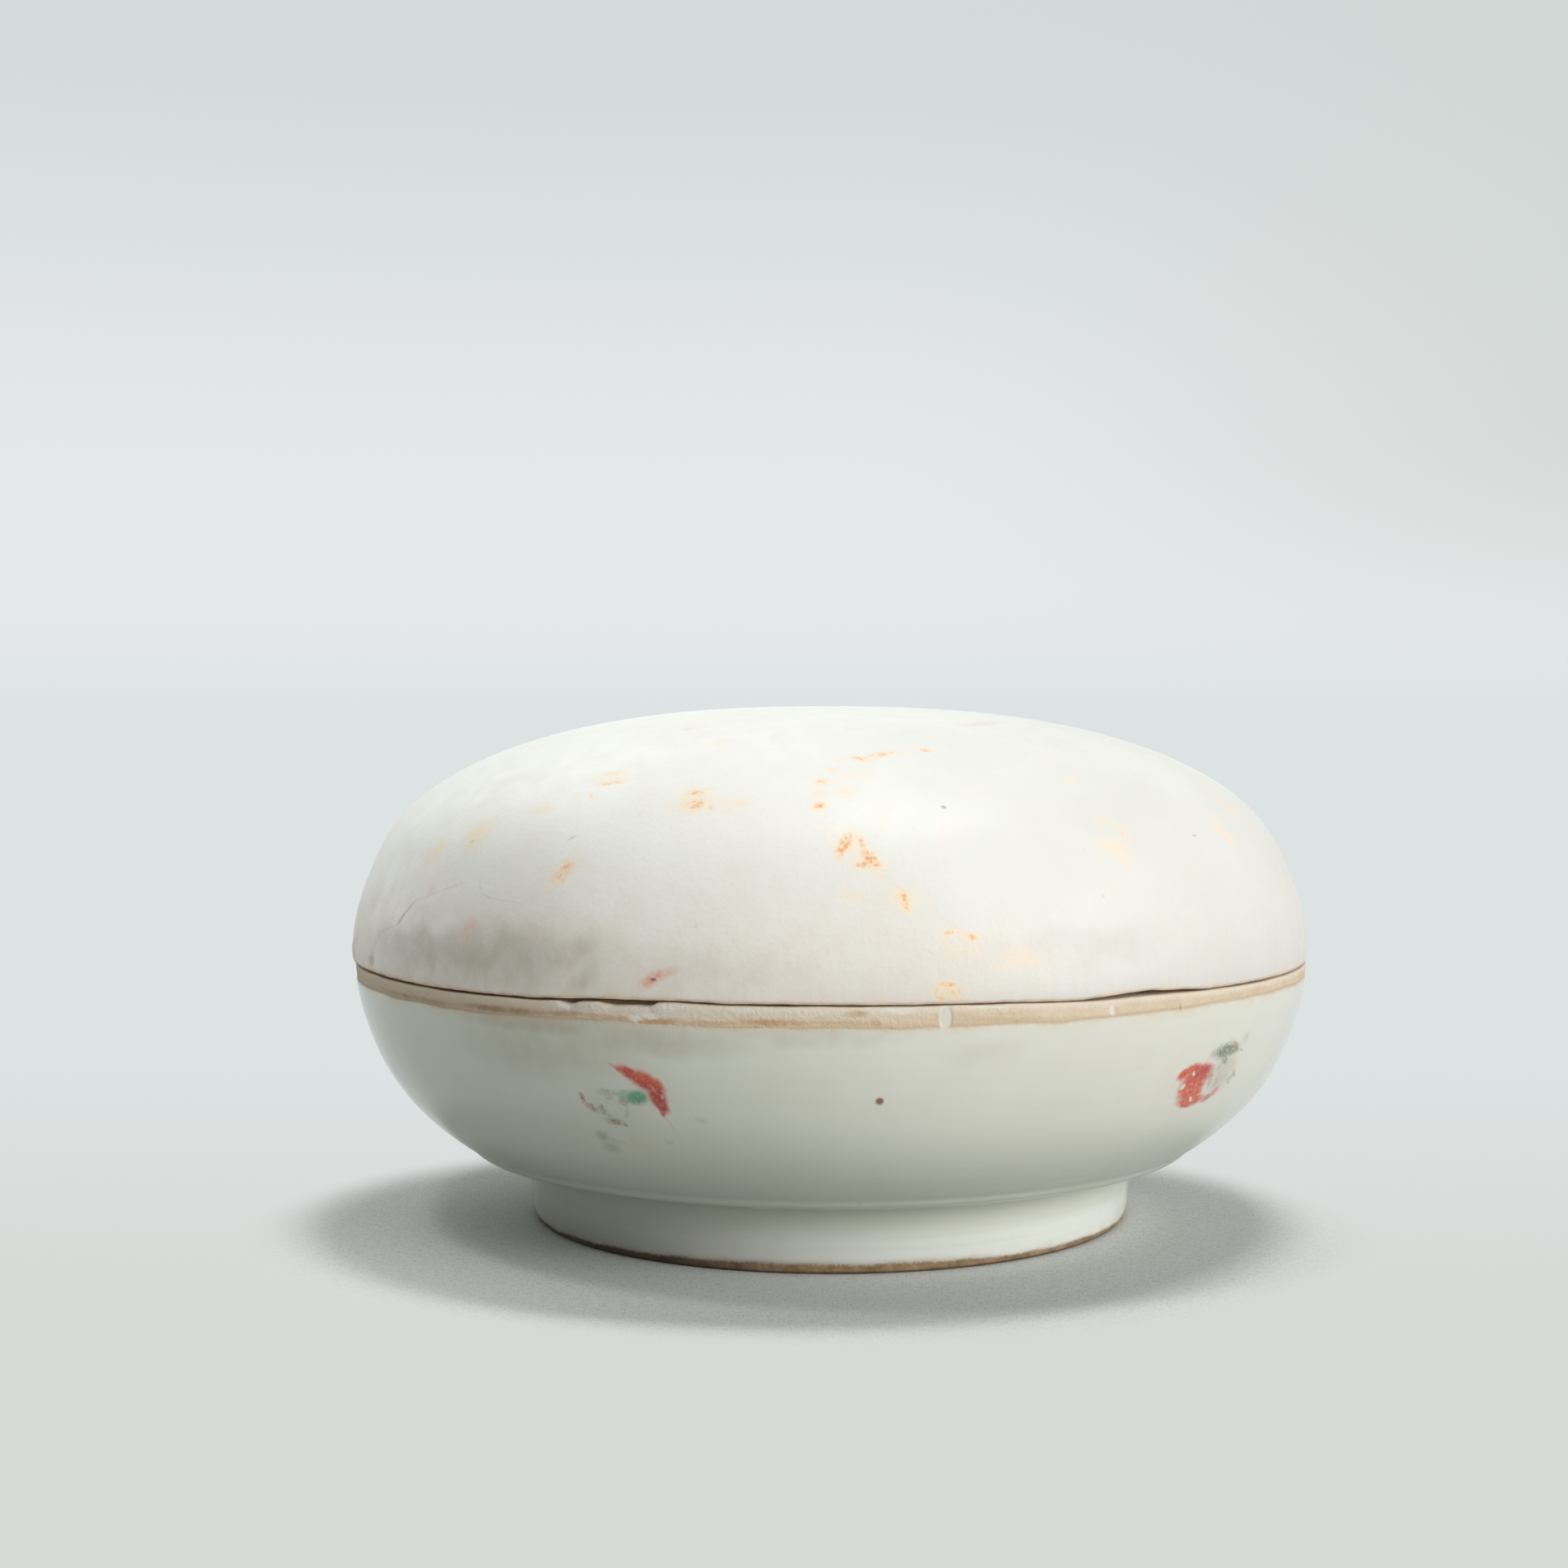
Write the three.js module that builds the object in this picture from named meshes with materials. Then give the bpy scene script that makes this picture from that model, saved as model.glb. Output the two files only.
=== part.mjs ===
// A porcelain covered box: a low round bowl on a foot ring, closed by a domed lid.
//
// The lid rests on a flat seat round the bowl's rim. A flange stands up inside the seat and
// enters the lid's mouth, so the lid can't slide sideways but lifts straight off, and it may
// be put down at any turn. Each piece is one fired body, turned about the vertical axis.
// Millimetres, +Z up. The origin is on the axis, on the surface that the foot ring stands on.

import * as THREE from 'three';

// Bowl
const BOWL_RADIUS = 44.7; // outside, at the seat
const SEAT_HEIGHT = 24.7; // the seat that carries the lid, above the table
const SEAT_EDGE = 0.4; // rounding of the seat's outer edge
const BELLY_POWER = 2.17; // 2 is a plain ellipse, and more is squarer
const FLOOR_THICKNESS = 3.4; // in the middle of the bowl
const INSIDE_POWER = 3.4; // as BELLY_POWER, for the inside

// Foot ring, and the turned ridge outside it on the bowl's underside
const FOOT_INSET = 16.1; // from the bowl's side in to the top of the foot's face
const FOOT_HEIGHT = 5.6;
const FOOT_TAPER = 0.9; // by which the foot narrows on its way down
const FOOT_WIDTH = 3.6; // of the ring at the table
const FOOT_FILLET = 1.5; // hollow curve between the foot and the underside
const FOOT_BEVEL = 0.6; // on both lower edges of the ring
const RECESS_DEPTH = 4.8; // of the hollow inside the ring
const RECESS_FILLET = 1.2;
const RIDGE_OUT = 4.4; // from the foot's face out to the ridge
const RIDGE_UP = 1; // from the top of the foot up to the ridge

// Flange inside the seat
const FLANGE_HEIGHT = 3.6;
const FLANGE_THICKNESS = 2;
const FLANGE_LEAN = 0.5; // inwards, from the seat to the flange's top

// Lid
const LID_OVERHANG = 0.2; // past the bowl's side
const LID_RISE = 23.2; // from the rim to the crown
const LID_POWER = 2.38; // as BELLY_POWER, for both faces of the lid
const LID_RIM = 3.2; // width of the rim
const LID_CROWN = 3.8; // thickness in the middle of the crown
const LID_EDGE = 0.6; // rounding of the rim's outer edge

// Clearances
const SEAM_GAP = 0.3; // between the seat and the lid's rim
const FLANGE_CLEARANCE = 0.6; // between the flange and the lid's mouth

// Finishes
const BOWL_GLAZE = { color: 0xdfe2d8, roughness: 0.2, metalness: 0 };
const LID_GLAZE = { color: 0xf0ece4, roughness: 0.55, metalness: 0 };

// Facets
const AROUND = 64; // round the axis
const ALONG = 11; // along each long curve of a profile
const CORNER = 3; // along each small rounding

// What fits together takes its size from the same values
const footTop = BOWL_RADIUS - FOOT_INSET;
const footBottom = footTop - FOOT_TAPER;
const recessRadius = footBottom - FOOT_WIDTH;
const ridgeRadius = footTop + RIDGE_OUT;
const ridgeHeight = FOOT_HEIGHT + RIDGE_UP;
const lidRadius = BOWL_RADIUS + LID_OVERHANG;
const lidMouth = lidRadius - LID_RIM;
const flangeOuter = lidMouth - FLANGE_CLEARANCE;
const flangeInner = flangeOuter - FLANGE_THICKNESS;

// A point on a quarter of a superellipse: (radius, 0) at no angle, (0, rise) at a right angle
function ovalPoint(radius, rise, power, angle) {
  const across = Math.cos(angle) ** (2 / power);
  const up = Math.sin(angle) ** (2 / power);
  return new THREE.Vector2(radius * across, rise * up);
}

// Draws an oval stretch on a path, about a centre on the axis at the given height
function ovalTo(path, height, radius, rise, power, fromAngle, toAngle) {
  for (let step = 0; step <= ALONG; step += 1) {
    const angle = THREE.MathUtils.lerp(fromAngle, toAngle, step / ALONG);
    const point = ovalPoint(radius, rise, power, angle);
    path.lineTo(point.x, height + point.y);
  }
}

// A closed solid turned from its profile, which runs up the outside from axis to axis
function turned(name, path, finish) {
  const geometry = new THREE.LatheGeometry(path.getPoints(CORNER), AROUND);
  geometry.rotateX(Math.PI / 2);
  const mesh = new THREE.Mesh(geometry, new THREE.MeshStandardMaterial(finish));
  mesh.name = name;
  return mesh;
}

// The underside: a recess, the ring that stands on the table, and the foot's outer face
function drawFoot(path) {
  path.moveTo(0, RECESS_DEPTH);
  path.lineTo(recessRadius - RECESS_FILLET, RECESS_DEPTH);
  path.quadraticCurveTo(recessRadius, RECESS_DEPTH, recessRadius, RECESS_DEPTH - RECESS_FILLET);
  path.lineTo(recessRadius, FOOT_BEVEL);
  path.lineTo(recessRadius + FOOT_BEVEL, 0);
  path.lineTo(footBottom - FOOT_BEVEL, 0);
  path.lineTo(footBottom, FOOT_BEVEL);
  const filletRise = FOOT_FILLET * RIDGE_UP / RIDGE_OUT;
  path.lineTo(footTop, FOOT_HEIGHT - FOOT_FILLET);
  path.quadraticCurveTo(footTop, FOOT_HEIGHT, footTop + FOOT_FILLET, FOOT_HEIGHT + filletRise);
}

// The belly swells from the ridge to the seat's rounded edge
function drawBelly(path) {
  const top = SEAT_HEIGHT - SEAT_EDGE;
  const ridgeAngle = Math.acos((ridgeRadius / BOWL_RADIUS) ** (BELLY_POWER / 2));
  const drop = (top - ridgeHeight) / Math.sin(ridgeAngle) ** (2 / BELLY_POWER);
  ovalTo(path, top, BOWL_RADIUS, -drop, BELLY_POWER, ridgeAngle, 0);
  path.quadraticCurveTo(BOWL_RADIUS, SEAT_HEIGHT, BOWL_RADIUS - SEAT_EDGE, SEAT_HEIGHT);
}

// The seat runs in to the flange, which leans inwards and has a round top
function drawFlange(path) {
  const top = SEAT_HEIGHT + FLANGE_HEIGHT;
  const half = FLANGE_THICKNESS / 2;
  const outer = flangeOuter - FLANGE_LEAN;
  const inner = flangeInner - FLANGE_LEAN;
  path.lineTo(flangeOuter, SEAT_HEIGHT);
  path.lineTo(outer, top - half);
  path.quadraticCurveTo(outer, top, outer - half, top);
  path.quadraticCurveTo(inner, top, inner, top - half);
}

function makeBowl() {
  const path = new THREE.Path();
  drawFoot(path);
  drawBelly(path);
  drawFlange(path);
  const drop = SEAT_HEIGHT - RECESS_DEPTH - FLOOR_THICKNESS;
  ovalTo(path, SEAT_HEIGHT, flangeInner, -drop, INSIDE_POWER, 0, Math.PI / 2);
  return turned('base_bowl', path, BOWL_GLAZE);
}

// The lid is drawn with its rim at no height, and then set on the bowl
function makeLid() {
  const path = new THREE.Path();
  path.moveTo(0, LID_RISE - LID_CROWN);
  ovalTo(path, 0, lidMouth, LID_RISE - LID_CROWN, LID_POWER, Math.PI / 2, 0);
  path.lineTo(lidRadius - LID_EDGE, 0);
  path.quadraticCurveTo(lidRadius, 0, lidRadius, LID_EDGE);
  ovalTo(path, LID_EDGE, lidRadius, LID_RISE - LID_EDGE, LID_POWER, 0, Math.PI / 2);
  const lid = turned('domed_lid', path, LID_GLAZE);
  lid.position.z = SEAT_HEIGHT + SEAM_GAP;
  return lid;
}

const coveredBox = new THREE.Group();
coveredBox.name = 'porcelain_covered_box';
coveredBox.add(makeBowl(), makeLid());

export default coveredBox;
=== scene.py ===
"""A porcelain covered box on a pale floor: a glazed bowl on a foot ring, closed by a worn domed lid.

Blender's frame is in metres, +Z up, and the viewer stands at -Y. The profiles here are worked out
in millimetres and scaled once, when a mesh is made. Marks on the glaze are placed by pixels of the
reference frame: a ray from the camera through each pixel finds the place on the porcelain.
"""

import math
from collections import namedtuple
from functools import partial

import bpy
import numpy as np
from mathutils import Matrix, Vector
from mathutils.bvhtree import BVHTree


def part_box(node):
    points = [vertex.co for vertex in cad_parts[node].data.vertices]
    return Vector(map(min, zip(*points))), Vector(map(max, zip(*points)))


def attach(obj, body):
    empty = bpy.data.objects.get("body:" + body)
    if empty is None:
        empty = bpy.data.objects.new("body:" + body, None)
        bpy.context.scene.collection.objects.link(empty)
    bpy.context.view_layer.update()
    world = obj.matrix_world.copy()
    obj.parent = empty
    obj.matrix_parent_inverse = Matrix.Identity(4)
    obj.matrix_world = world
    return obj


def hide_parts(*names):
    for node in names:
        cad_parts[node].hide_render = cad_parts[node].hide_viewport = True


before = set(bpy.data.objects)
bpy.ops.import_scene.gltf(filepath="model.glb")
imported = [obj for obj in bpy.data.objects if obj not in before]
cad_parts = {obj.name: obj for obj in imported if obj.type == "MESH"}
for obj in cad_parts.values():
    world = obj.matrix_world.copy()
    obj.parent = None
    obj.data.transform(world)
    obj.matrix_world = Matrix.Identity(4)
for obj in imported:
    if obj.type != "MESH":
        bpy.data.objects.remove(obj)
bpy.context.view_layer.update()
bowl_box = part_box("base_bowl")
lid_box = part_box("domed_lid")

MM = 0.001

# Sizes that the frame gives, in millimetres
BOWL_RADIUS = (bowl_box[1][0] - bowl_box[0][0]) / 2 / MM
FLANGE_TOP = bowl_box[1][2] / MM
LID_RADIUS = (lid_box[1][0] - lid_box[0][0]) / 2 / MM
LID_SEAM = lid_box[0][2] / MM
LID_RISE = (lid_box[1][2] - lid_box[0][2]) / MM

# Bowl, in millimetres
SEAM_GAP = 0.3
SEAT = LID_SEAM - SEAM_GAP
SEAT_EDGE = 0.25
SEAT_FILLET = 0.3
BELLY_TOP = SEAT - SEAT_EDGE
BELLY_POWER = 2.17
BELLY_SLACK = 0.42
BELLY_SLACK_HEIGHT = 18
BELLY_SLACK_WIDTH = 5.5
FLOOR_THICKNESS = 3.4
INSIDE_POWER = 3.4
FOOT_TOP = BOWL_RADIUS - 16.1
FOOT_BOTTOM = FOOT_TOP - 0.5
FOOT_HEIGHT = 5.6
FOOT_FILLET = 1.5
FOOT_FILLET_IN = 0.1
FOOT_WIDTH = 3.6
FOOT_ROUND_INSIDE = 1.2
FOOT_ROUND_OUTSIDE = 0.48
FOOT_BARE = 0.72
FOOT_LEAN = 0.1
FOOT_GLAZE = 0.18
FOOT_GLAZE_CORNER = (0.14, 0.84)
FOOT_GLAZE_TOP = 1.32
RECESS_DEPTH = 4.8
RECESS_CROWN = 0.15
RECESS_FILLET = 1.2
RIDGE_RADIUS = FOOT_TOP + 5.2
RIDGE_HEIGHT = FOOT_HEIGHT + 1.45
RIDGE_ROUND = 0.9
RIDGE_BEAD = 0.75
RIDGE_PROUD = 0.3
RIDGE_GLAZE = 0.05
BAND_HEIGHT = 1.65
BAND_INSET = 0.02
GLAZE_THICKNESS = 0.07
GLAZE_LIP = 0.14
BELLY_RINGS = 44

# Lid and flange, in millimetres
LID_POWER = 2.38
LID_RIM = 3.2
LID_RIM_ROUND = 0.5
LID_CROWN = 3.8
LID_EDGE = 0.35
LID_EDGE_RISE = 1.3
LID_EDGE_CORNER = 0.15
LID_EDGE_MIDDLE = (0.08, 0.25)
LID_SIDE_CORNER = 0.6
LID_SHIFT = -0.12
LID_POLE_GAP_INSIDE = 0.03
LID_POLE_GAP = 0.02
LID_MOUTH_ANGLE = 0.02
SHOULDER_SLACK = 0.75
SHOULDER_RISE = 8
SHOULDER_WIDTH = 5
CROWN_SAG = 0.22
LID_MOUTH = LID_RADIUS - LID_RIM
FLANGE_OUTER = LID_MOUTH - 0.6
FLANGE_THICKNESS = 2
FLANGE_INNER = FLANGE_OUTER - FLANGE_THICKNESS
FLANGE_LEAN = 0.5
FLANGE_INSET = 0.05

# Facets round the axis
AROUND = 540

# The camera, from the outline, the seam and the foot in the reference frame
FRAME_PIXELS = 1932
FOCAL_PIXELS = 2830
AXIS_PIXEL = 1021.5
CAMERA_BACK = 220
CAMERA_HEIGHT = 46.8
CAMERA_PITCH = 0.0285
CAMERA_YAW = math.atan((AXIS_PIXEL - FRAME_PIXELS / 2) / FOCAL_PIXELS)
SENSOR = 36
CLIP_START = 0.01


def srgb(red, green, blue):
    """A linear RGBA colour from values that run to 255."""
    linear = []
    for value in (red, green, blue):
        share = value / 255
        linear.append(share / 12.92 if share <= 0.04045 else ((share + 0.055) / 1.055) ** 2.4)
    return (*linear, 1)


# Camera and rays

def camera_axes():
    """The camera's right, up and forward directions."""
    turn = Matrix.Rotation(CAMERA_YAW, 3, "Z")
    tip = Matrix.Rotation(-CAMERA_PITCH, 3, "X")
    axes = turn @ tip
    return axes @ Vector((1, 0, 0)), axes @ Vector((0, 0, 1)), axes @ Vector((0, 1, 0))


RIGHT, UP, FORWARD = camera_axes()
EYE = Vector((0, -CAMERA_BACK, CAMERA_HEIGHT))


def ray_through(pixel):
    """The direction in which the camera sees a pixel of the reference frame."""
    across = (pixel[0] - FRAME_PIXELS / 2) / FOCAL_PIXELS
    down = (pixel[1] - FRAME_PIXELS / 2) / FOCAL_PIXELS
    return (FORWARD + RIGHT * across - UP * down).normalized()


def add_object(name, data):
    made = bpy.data.objects.new(name, data)
    bpy.context.collection.objects.link(made)
    return made


def make_camera():
    camera = add_object("camera", bpy.data.cameras.new("camera"))
    camera.data.sensor_width = SENSOR
    camera.data.lens = SENSOR * FOCAL_PIXELS / FRAME_PIXELS
    camera.data.clip_start = CLIP_START
    camera.location = EYE * MM
    camera.rotation_euler = FORWARD.to_track_quat("-Z", "Y").to_euler()
    bpy.context.scene.camera = camera


# Profiles, drawn as rings: pairs of a radius and a height

class Pen:
    """Draws a profile from point to point, in glaze or in bare clay."""

    def __init__(self, start):
        self.at = start
        self.bare = False
        self.rings = []
        self.flags = []
        self.split = 0

    def add(self, *rings):
        self.rings += rings
        self.flags += [self.bare] * len(rings)

    def line(self, end, steps):
        self.add(*(tuple(np.add(self.at, np.subtract(end, self.at) * i / steps)) for i in range(steps)))
        self.at = end

    def bend(self, corner, end, steps):
        """A round stretch, drawn towards a corner."""
        for i in range(steps):
            t = i / steps
            weights = ((1 - t) ** 2, 2 * t * (1 - t), t * t)
            self.add(tuple(sum(w * np.array(p) for w, p in zip(weights, (self.at, corner, end)))))
        self.at = end

    def oval(self, radius, rise, power, angles, height, steps):
        """A stretch of a superellipse about a point on the axis."""
        places = [oval_point(radius, rise, power, angles[0] + (angles[1] - angles[0]) * i / steps, height)
                  for i in range(steps + 1)]
        self.add(*places[:-1])
        self.at = places[-1]

    def split_here(self):
        """Notes where the inside and the outside part, for the map."""
        self.split = len(self.rings)


def oval_point(radius, rise, power, angle, height):
    across = max(math.cos(angle), 0) ** (2 / power)
    up = max(math.sin(angle), 0) ** (2 / power)
    return radius * across, height + rise * up


def belly_point(height, out=GLAZE_THICKNESS):
    """A point of the belly's superellipse, which runs through the ridge, moved out a little."""
    ridge_angle = math.acos((RIDGE_RADIUS / BOWL_RADIUS) ** (BELLY_POWER / 2))
    drop = (BELLY_TOP - RIDGE_HEIGHT) / math.sin(ridge_angle) ** (2 / BELLY_POWER)
    share = 1 - ((BELLY_TOP - height) / drop) ** BELLY_POWER
    return BOWL_RADIUS * share ** (1 / BELLY_POWER) + out, height


def draw_foot(pen):
    """The recess, the bare ring that stands on the table, and the foot's glazed face."""
    recess = FOOT_BOTTOM - FOOT_WIDTH
    pen.line((recess - RECESS_FILLET, RECESS_DEPTH), 7)
    pen.bend((recess, RECESS_DEPTH), (recess, RECESS_DEPTH - RECESS_FILLET), 6)
    pen.line((recess, FOOT_ROUND_INSIDE), 3)
    pen.bare = True
    pen.bend((recess, 0), (recess + FOOT_ROUND_INSIDE, 0), 7)
    pen.line((FOOT_BOTTOM - FOOT_ROUND_OUTSIDE, 0), 4)
    pen.bend((FOOT_BOTTOM - FOOT_LEAN, 0), (FOOT_BOTTOM, FOOT_BARE), 8)
    pen.bare = False
    pen.bend((FOOT_BOTTOM + FOOT_GLAZE_CORNER[0], FOOT_GLAZE_CORNER[1]),
             (FOOT_BOTTOM + FOOT_GLAZE, FOOT_GLAZE_TOP), 4)
    pen.line((FOOT_TOP - FOOT_FILLET_IN, FOOT_HEIGHT - FOOT_FILLET), 6)


def draw_belly(pen):
    """The underside out to the ridge's bead, and the belly up to the rounded lip of its glaze."""
    slope = (RIDGE_HEIGHT - FOOT_HEIGHT) / (RIDGE_RADIUS - FOOT_TOP)
    ridge = np.array(belly_point(RIDGE_HEIGHT, RIDGE_GLAZE))
    belly_start = belly_point(RIDGE_HEIGHT + RIDGE_ROUND, RIDGE_GLAZE)
    up_belly = np.subtract(belly_start, ridge)
    up_belly /= np.hypot(*up_belly)
    off_belly = np.array((up_belly[1], -up_belly[0]))
    glaze_end = SEAT - BAND_HEIGHT
    lip = belly_point(glaze_end - GLAZE_LIP)
    pen.bend((FOOT_TOP, FOOT_HEIGHT), (FOOT_TOP + FOOT_FILLET, FOOT_HEIGHT + FOOT_FILLET * slope), 9)
    pen.line((RIDGE_RADIUS - RIDGE_ROUND, RIDGE_HEIGHT - RIDGE_ROUND * slope), 4)
    pen.line(ridge - RIDGE_BEAD * up_belly, 2)
    pen.bend(ridge + RIDGE_PROUD * off_belly, ridge + RIDGE_BEAD * up_belly, 8)
    pen.line(belly_start, 2)
    pen.add(*(belly_point(height) for height in np.linspace(belly_start[1], lip[1], BELLY_RINGS)[:-1]))
    pen.at = lip
    pen.bend(belly_point(glaze_end), belly_point(glaze_end, -BAND_INSET), 5)


def draw_rim(pen):
    """The bare band, the seat, and the flange, which leans inwards and has a round top."""
    half = FLANGE_THICKNESS / 2
    outer = FLANGE_OUTER - FLANGE_LEAN
    inner = FLANGE_INNER - FLANGE_LEAN
    pen.bare = True
    pen.line((BOWL_RADIUS, BELLY_TOP), 9)
    pen.bend((BOWL_RADIUS, SEAT), (BOWL_RADIUS - SEAT_EDGE, SEAT), 6)
    pen.line((FLANGE_OUTER + SEAT_FILLET, SEAT), 5)
    pen.bend((FLANGE_OUTER, SEAT), (FLANGE_OUTER - FLANGE_INSET, SEAT + SEAT_FILLET), 3)
    pen.line((outer, FLANGE_TOP - half), 4)
    pen.bend((outer, FLANGE_TOP), (outer - half, FLANGE_TOP), 5)
    pen.bend((inner, FLANGE_TOP), (inner, FLANGE_TOP - half), 5)
    pen.bare = False


def bowl_profile():
    inside_drop = SEAT - RECESS_DEPTH - FLOOR_THICKNESS
    pen = Pen((0, RECESS_DEPTH + RECESS_CROWN))
    draw_foot(pen)
    draw_belly(pen)
    draw_rim(pen)
    pen.split_here()
    pen.line((FLANGE_INNER, SEAT), 4)
    pen.oval(FLANGE_INNER, -inside_drop, INSIDE_POWER, (0, math.pi / 2), SEAT, 26)
    pen.add((0, SEAT - inside_drop))
    return pen


def lid_profile():
    inside_rise = LID_RISE - LID_CROWN
    dome = LID_SEAM + LID_EDGE_RISE
    edge_middle = (LID_RADIUS - LID_EDGE_MIDDLE[0], LID_SEAM + LID_EDGE_MIDDLE[1])
    pole_to_mouth = (math.pi / 2 - LID_POLE_GAP_INSIDE, LID_MOUTH_ANGLE)
    pen = Pen((0, LID_SEAM + inside_rise))
    pen.add(pen.at)
    pen.oval(LID_MOUTH, inside_rise, LID_POWER, pole_to_mouth, LID_SEAM, 26)
    pen.split_here()
    pen.bare = True
    pen.line((LID_MOUTH, LID_SEAM + LID_RIM_ROUND), 2)
    pen.bend((LID_MOUTH, LID_SEAM), (LID_MOUTH + LID_RIM_ROUND, LID_SEAM), 5)
    pen.line((LID_RADIUS - LID_EDGE, LID_SEAM), 6)
    pen.bend((LID_RADIUS - LID_EDGE_CORNER, LID_SEAM), edge_middle, 5)
    pen.bare = False
    pen.bend((LID_RADIUS, LID_SEAM + LID_SIDE_CORNER), (LID_RADIUS, dome), 6)
    pen.oval(LID_RADIUS, LID_RISE - LID_EDGE_RISE, LID_POWER, (0, math.pi / 2 - LID_POLE_GAP), dome, 66)
    pen.add((0, LID_SEAM + LID_RISE))
    return pen


# Turned meshes

Turned = namedtuple("Turned", "points faces bare ring along")


def turn(pen):
    """Points, faces, distance into bare clay and ring of each point, and length of profile to each ring."""
    rings = np.array(pen.rings)
    flags = pen.flags
    steps = np.hypot(*np.diff(rings, axis=0).T)
    along = np.concatenate(([0], np.cumsum(steps)))
    edges = [along[i] for i in range(1, len(flags)) if flags[i] != flags[i - 1]]
    near = np.min(np.abs(along[:, None] - np.array(edges)[None, :]), axis=1)
    depth = np.where(flags, near, -near)
    inner = rings[1:-1]
    angles = np.arange(AROUND) * 2 * math.pi / AROUND
    x = np.outer(np.cos(angles), inner[:, 0])
    y = np.outer(np.sin(angles), inner[:, 0])
    z = np.tile(inner[:, 1], (AROUND, 1))
    grid = np.stack((x, y, z), -1).reshape(-1, 3)
    points = np.concatenate((grid, [(0, 0, rings[0, 1]), (0, 0, rings[-1, 1])]))
    bare = np.concatenate((np.tile(depth[1:-1], AROUND), depth[[0, -1]]))
    ring_of = np.concatenate((np.tile(np.arange(1, len(rings) - 1), AROUND), [0, len(rings) - 1]))
    count = len(inner)
    first, last = len(grid), len(grid) + 1
    faces = []
    for i in range(AROUND):
        a = i * count
        b = (i + 1) % AROUND * count
        faces.append((first, b, a))
        faces.extend((a + j, b + j, b + j + 1, a + j + 1) for j in range(count - 1))
        faces.append((last, a + count - 1, b + count - 1))
    return Turned(points, faces, bare, ring_of, along)


# Handmade unevenness: values in millimetres at columns of the reference frame

SEAT_DROP = dict(
    far_left=(450, 0.3), left=(560, 0.38), front_left=(650, 0.3), chips=(730, 0.1), front=(850, 0),
    front_right=(1250, 0), right=(1340, 0.16), gap=(1420, 0.05), right_end=(1530, 0.18),
    far_right=(1590, 0.18),
)
SEAM_LIFT = dict(
    far_left=(450, -0.12), left=(560, -0.17), front_left=(690, -0.12), chips=(760, -0.07),
    crumbs=(834, -0.05), front=(900, -0.19), front_right=(1240, -0.2), right=(1330, -0.17),
    gap_start=(1375, 0), gap=(1420, 0.1), gap_end=(1466, -0.06), closed=(1490, -0.2),
    closed_end=(1535, -0.2), far_right=(1575, -0.17),
)
GLAZE_LINE = dict(
    far_left=(450, 0.1), left=(600, 0.08), chips=(690, 0.1), left_front=(770, 0.1),
    stain=(815, -0.1), front=(1000, -0.14), tab=(1165, -0.12), right=(1440, 0.22),
    right_end=(1530, 0.48), far_right=(1590, 0.45),
)
FOOT_LINE = dict(
    far_left=(690, -0.12), left=(760, -0.05), front_left=(830, 0.12), front=(960, 0.22),
    front_right=(1130, 0.22), right=(1230, 0.02), far_right=(1370, -0.08),
)
SEAT_CHIPS = dict(
    before_left_chip=(687, 0), left_chip_start=(691, 0.12), left_chip=(700, 0.2),
    left_chip_end=(709, 0.1), between=(714, 0), before_long_chip=(735, 0),
    long_chip_start=(745, 0.16), long_chip=(757, 0.24), long_chip_middle=(775, 0.15),
    long_chip_right=(800, 0.17), long_chip_end=(808, -0.13), crumbs=(830, -0.13),
    after_crumbs=(845, -0.05), front=(900, 0),
)
BACK = math.pi / 2

# Slow waves round the axis: each is a count, a height and a phase
GLAZE_WAVES = ((23, 0.03, 0.4), (41, 0.03, 1.9), (67, 0.02, 0.2))
SEAT_WAVES = ((29, 0.012, 0.3), (53, 0.012, 1.2))
FOOT_WAVES = ((11, 0.03, 2.2), (27, 0.03, 0.5), (49, 0.02, 1.1))
BOWL_WAVES = ((2, 0.1, 0.6), (3, 0.05, 2))
RIM_WAVES = ((7, 0.02, 0.1), (19, 0.015, 1.4), (37, 0.012, 0.7))
RIM_CRUMBS = ((31, 0.018, 0.3), (67, 0.016, 1.1), (113, 0.014, 2))
LID_WAVES = ((2, 0.08, 1.9), (3, 0.06, 0.3), (5, 0.03, 2.4))

# How far each unevenness reaches, in millimetres
LINE_REACH = 0.8  # along the profile, from the edge of the glaze
LINE_PAST_FLANGE = 2
SEAT_FADE = (1, 2.5)  # out from the flange
SUNK_FADE = (-2.4 * BAND_HEIGHT, -0.6 * BAND_HEIGHT)  # up to the seat
CHIP_FADE = (-0.7 * BAND_HEIGHT, 0)  # up to the seat
FOOT_REACH = 0.5  # along the profile, from the edge of the glaze
FOOT_EDGE_TOP = 2
FOOT_EDGE_WIDTH = 1
FOOT_FADE = (0, 0.3)  # up from the table
RIM_REACH = 1.3  # up from the rim
RIM_FADE = (1.8, 3.2)  # out from the flange

CHIP_HOLLOW = 1.2  # by which a chip goes in, for each millimetre that it goes down
TINY = 1e-6


def angle_at(column, radius=BOWL_RADIUS):
    """The angle about the axis at which the camera sees a column of the frame on the rim."""
    way = ray_through((column, FRAME_PIXELS / 2)).xy.normalized()
    start = EYE.xy
    towards = start.dot(way)
    inside = max(towards ** 2 - start.length_squared + radius ** 2, 0)
    place = start + way * (-towards - math.sqrt(inside))
    return math.atan2(place.y, place.x)


def wave(values, angles, radius=BOWL_RADIUS):
    """Values between the named columns, and none at the back."""
    places = [angle_at(column, radius) for column, _ in values.values()] + [BACK]
    heights = [height for _, height in values.values()] + [0]
    return np.interp(angles, places, heights, period=2 * math.pi)


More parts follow.
